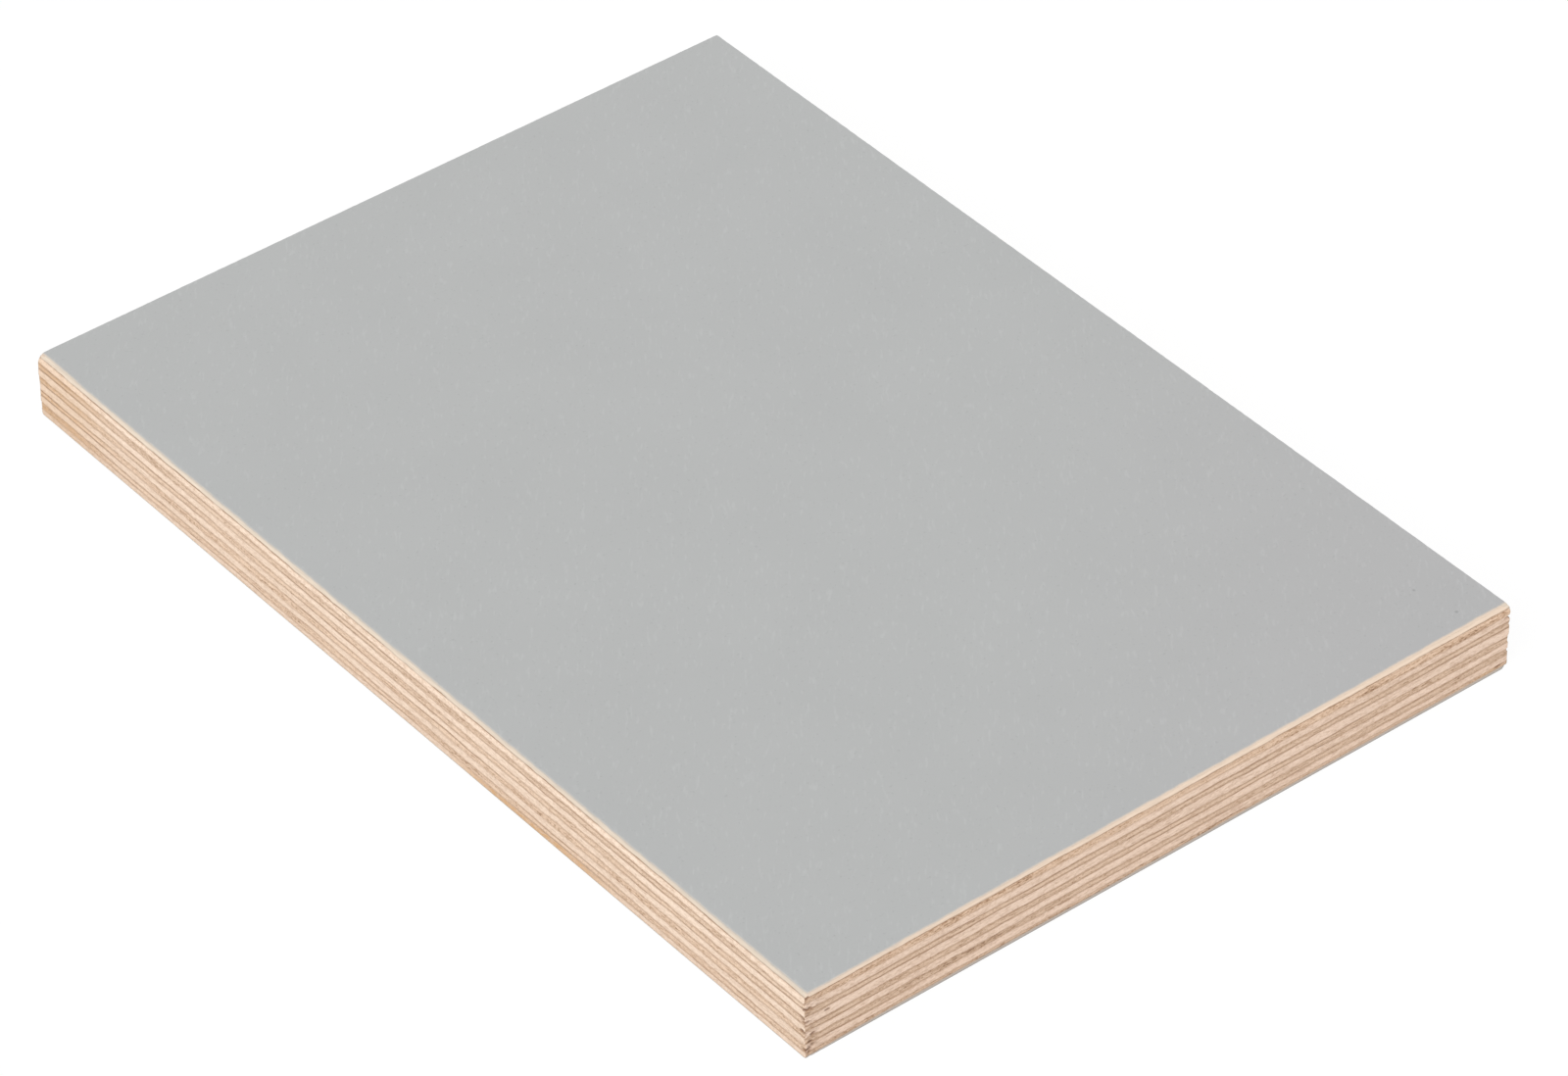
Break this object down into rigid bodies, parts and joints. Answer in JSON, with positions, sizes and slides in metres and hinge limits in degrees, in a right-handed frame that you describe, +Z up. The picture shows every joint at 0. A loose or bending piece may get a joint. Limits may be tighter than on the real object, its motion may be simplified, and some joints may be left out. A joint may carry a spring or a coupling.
{
  "type": "film-faced plywood sheet",
  "caption": "Flat rectangular plywood sheet with a smooth grey film face, cross-laid plies showing on its edges and eased finished edges, for shelves, panels and formwork.",
  "frame": {"origin": "centre of the underside, on the floor that the sheet lies on", "axes": "+Z up out of the film face, +Y along the long side, +X along the short side; the eased edges are the ones at -X and -Y"},
  "size_m": [0.21, 0.297, 0.018],
  "materials": {
    "face_film": "matt grey film",
    "backing_film": "matt grey film",
    "face_veneer": "sanded pale veneer",
    "lengthwise_ply": "sawn edge, grain along the long side",
    "crosswise_ply": "sawn edge, grain along the short side"
  },
  "bodies": {
    "root": {"backing_film": "backing_film", "ply_1": "lengthwise_ply", "ply_2": "crosswise_ply", "ply_3": "lengthwise_ply", "ply_4": "crosswise_ply", "ply_5": "lengthwise_ply", "ply_6": "crosswise_ply", "ply_7": "lengthwise_ply", "ply_8": "crosswise_ply", "ply_9": "lengthwise_ply", "face_veneer": "face_veneer", "face_film": "face_film"}
  },
  "joints": []
}
